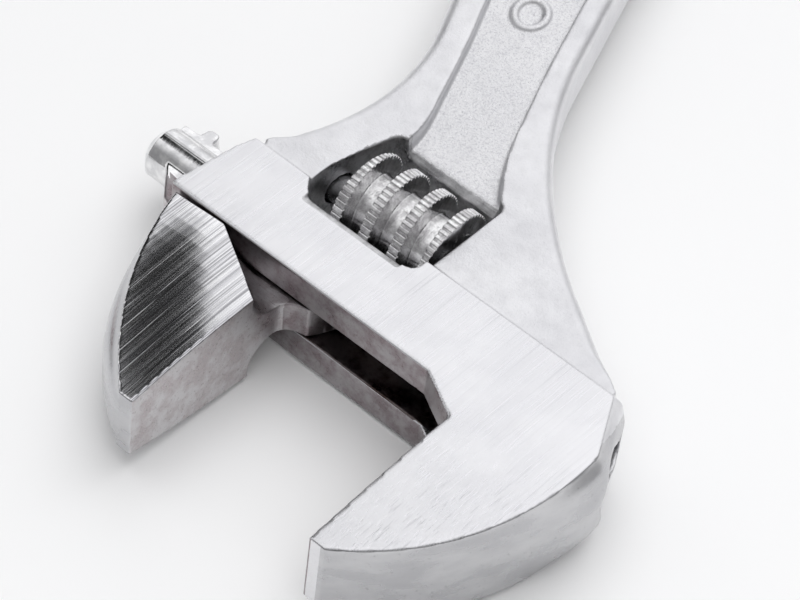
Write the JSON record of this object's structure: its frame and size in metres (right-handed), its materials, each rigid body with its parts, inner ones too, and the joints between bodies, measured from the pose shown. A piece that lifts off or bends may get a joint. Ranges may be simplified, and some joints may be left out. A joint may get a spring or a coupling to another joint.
{
  "type": "adjustable wrench",
  "caption": "Adjustable wrench with a forged handle, a fixed jaw, and a sliding jaw moved along its rack by a knurled worm in a window of the head.",
  "frame": {"origin": "middle of the bounding box, at its lowest level", "axes": "+X along the length towards the handle's end with the head at -X, +Z normal to the flat faces, +Y to the side on which the movable jaw opens"},
  "size_m": [0.2052, 0.068, 0.0146],
  "materials": {
    "plated_forging": "satin plated forging, ground and finely scratched on the head, blasted on the handle",
    "ground_jaw": "satin plate over coarse grinding lines",
    "worm_steel": "bright turned steel, crests finely knurled",
    "pin_steel": "plain turned steel",
    "spring_steel": "drawn wire"
  },
  "bodies": {
    "handle": {"body": "plated_forging", "worm_pin": "pin_steel", "worm_spring": "spring_steel"},
    "jaw": {"movable_jaw": "ground_jaw"},
    "worm": {"worm": "worm_steel"}
  },
  "joints": [
    {"name": "jaw_slide", "type": "slide", "parent": "handle", "child": "jaw", "axis": [0.3827, 0.9239, 0], "range_m": [-0.0271, 0.002]},
    {"name": "worm_spin", "type": "hinge", "parent": "handle", "child": "worm", "pos_m": [-0.05004, 0.00047, 0.0073], "axis": [0.3827, 0.9239, 0], "range_deg": [-165, 2175]}
  ],
  "couplings": [
    {"joint": "worm_spin", "follows": "jaw_slide", "rad_per_m": -1396.3}
  ]
}
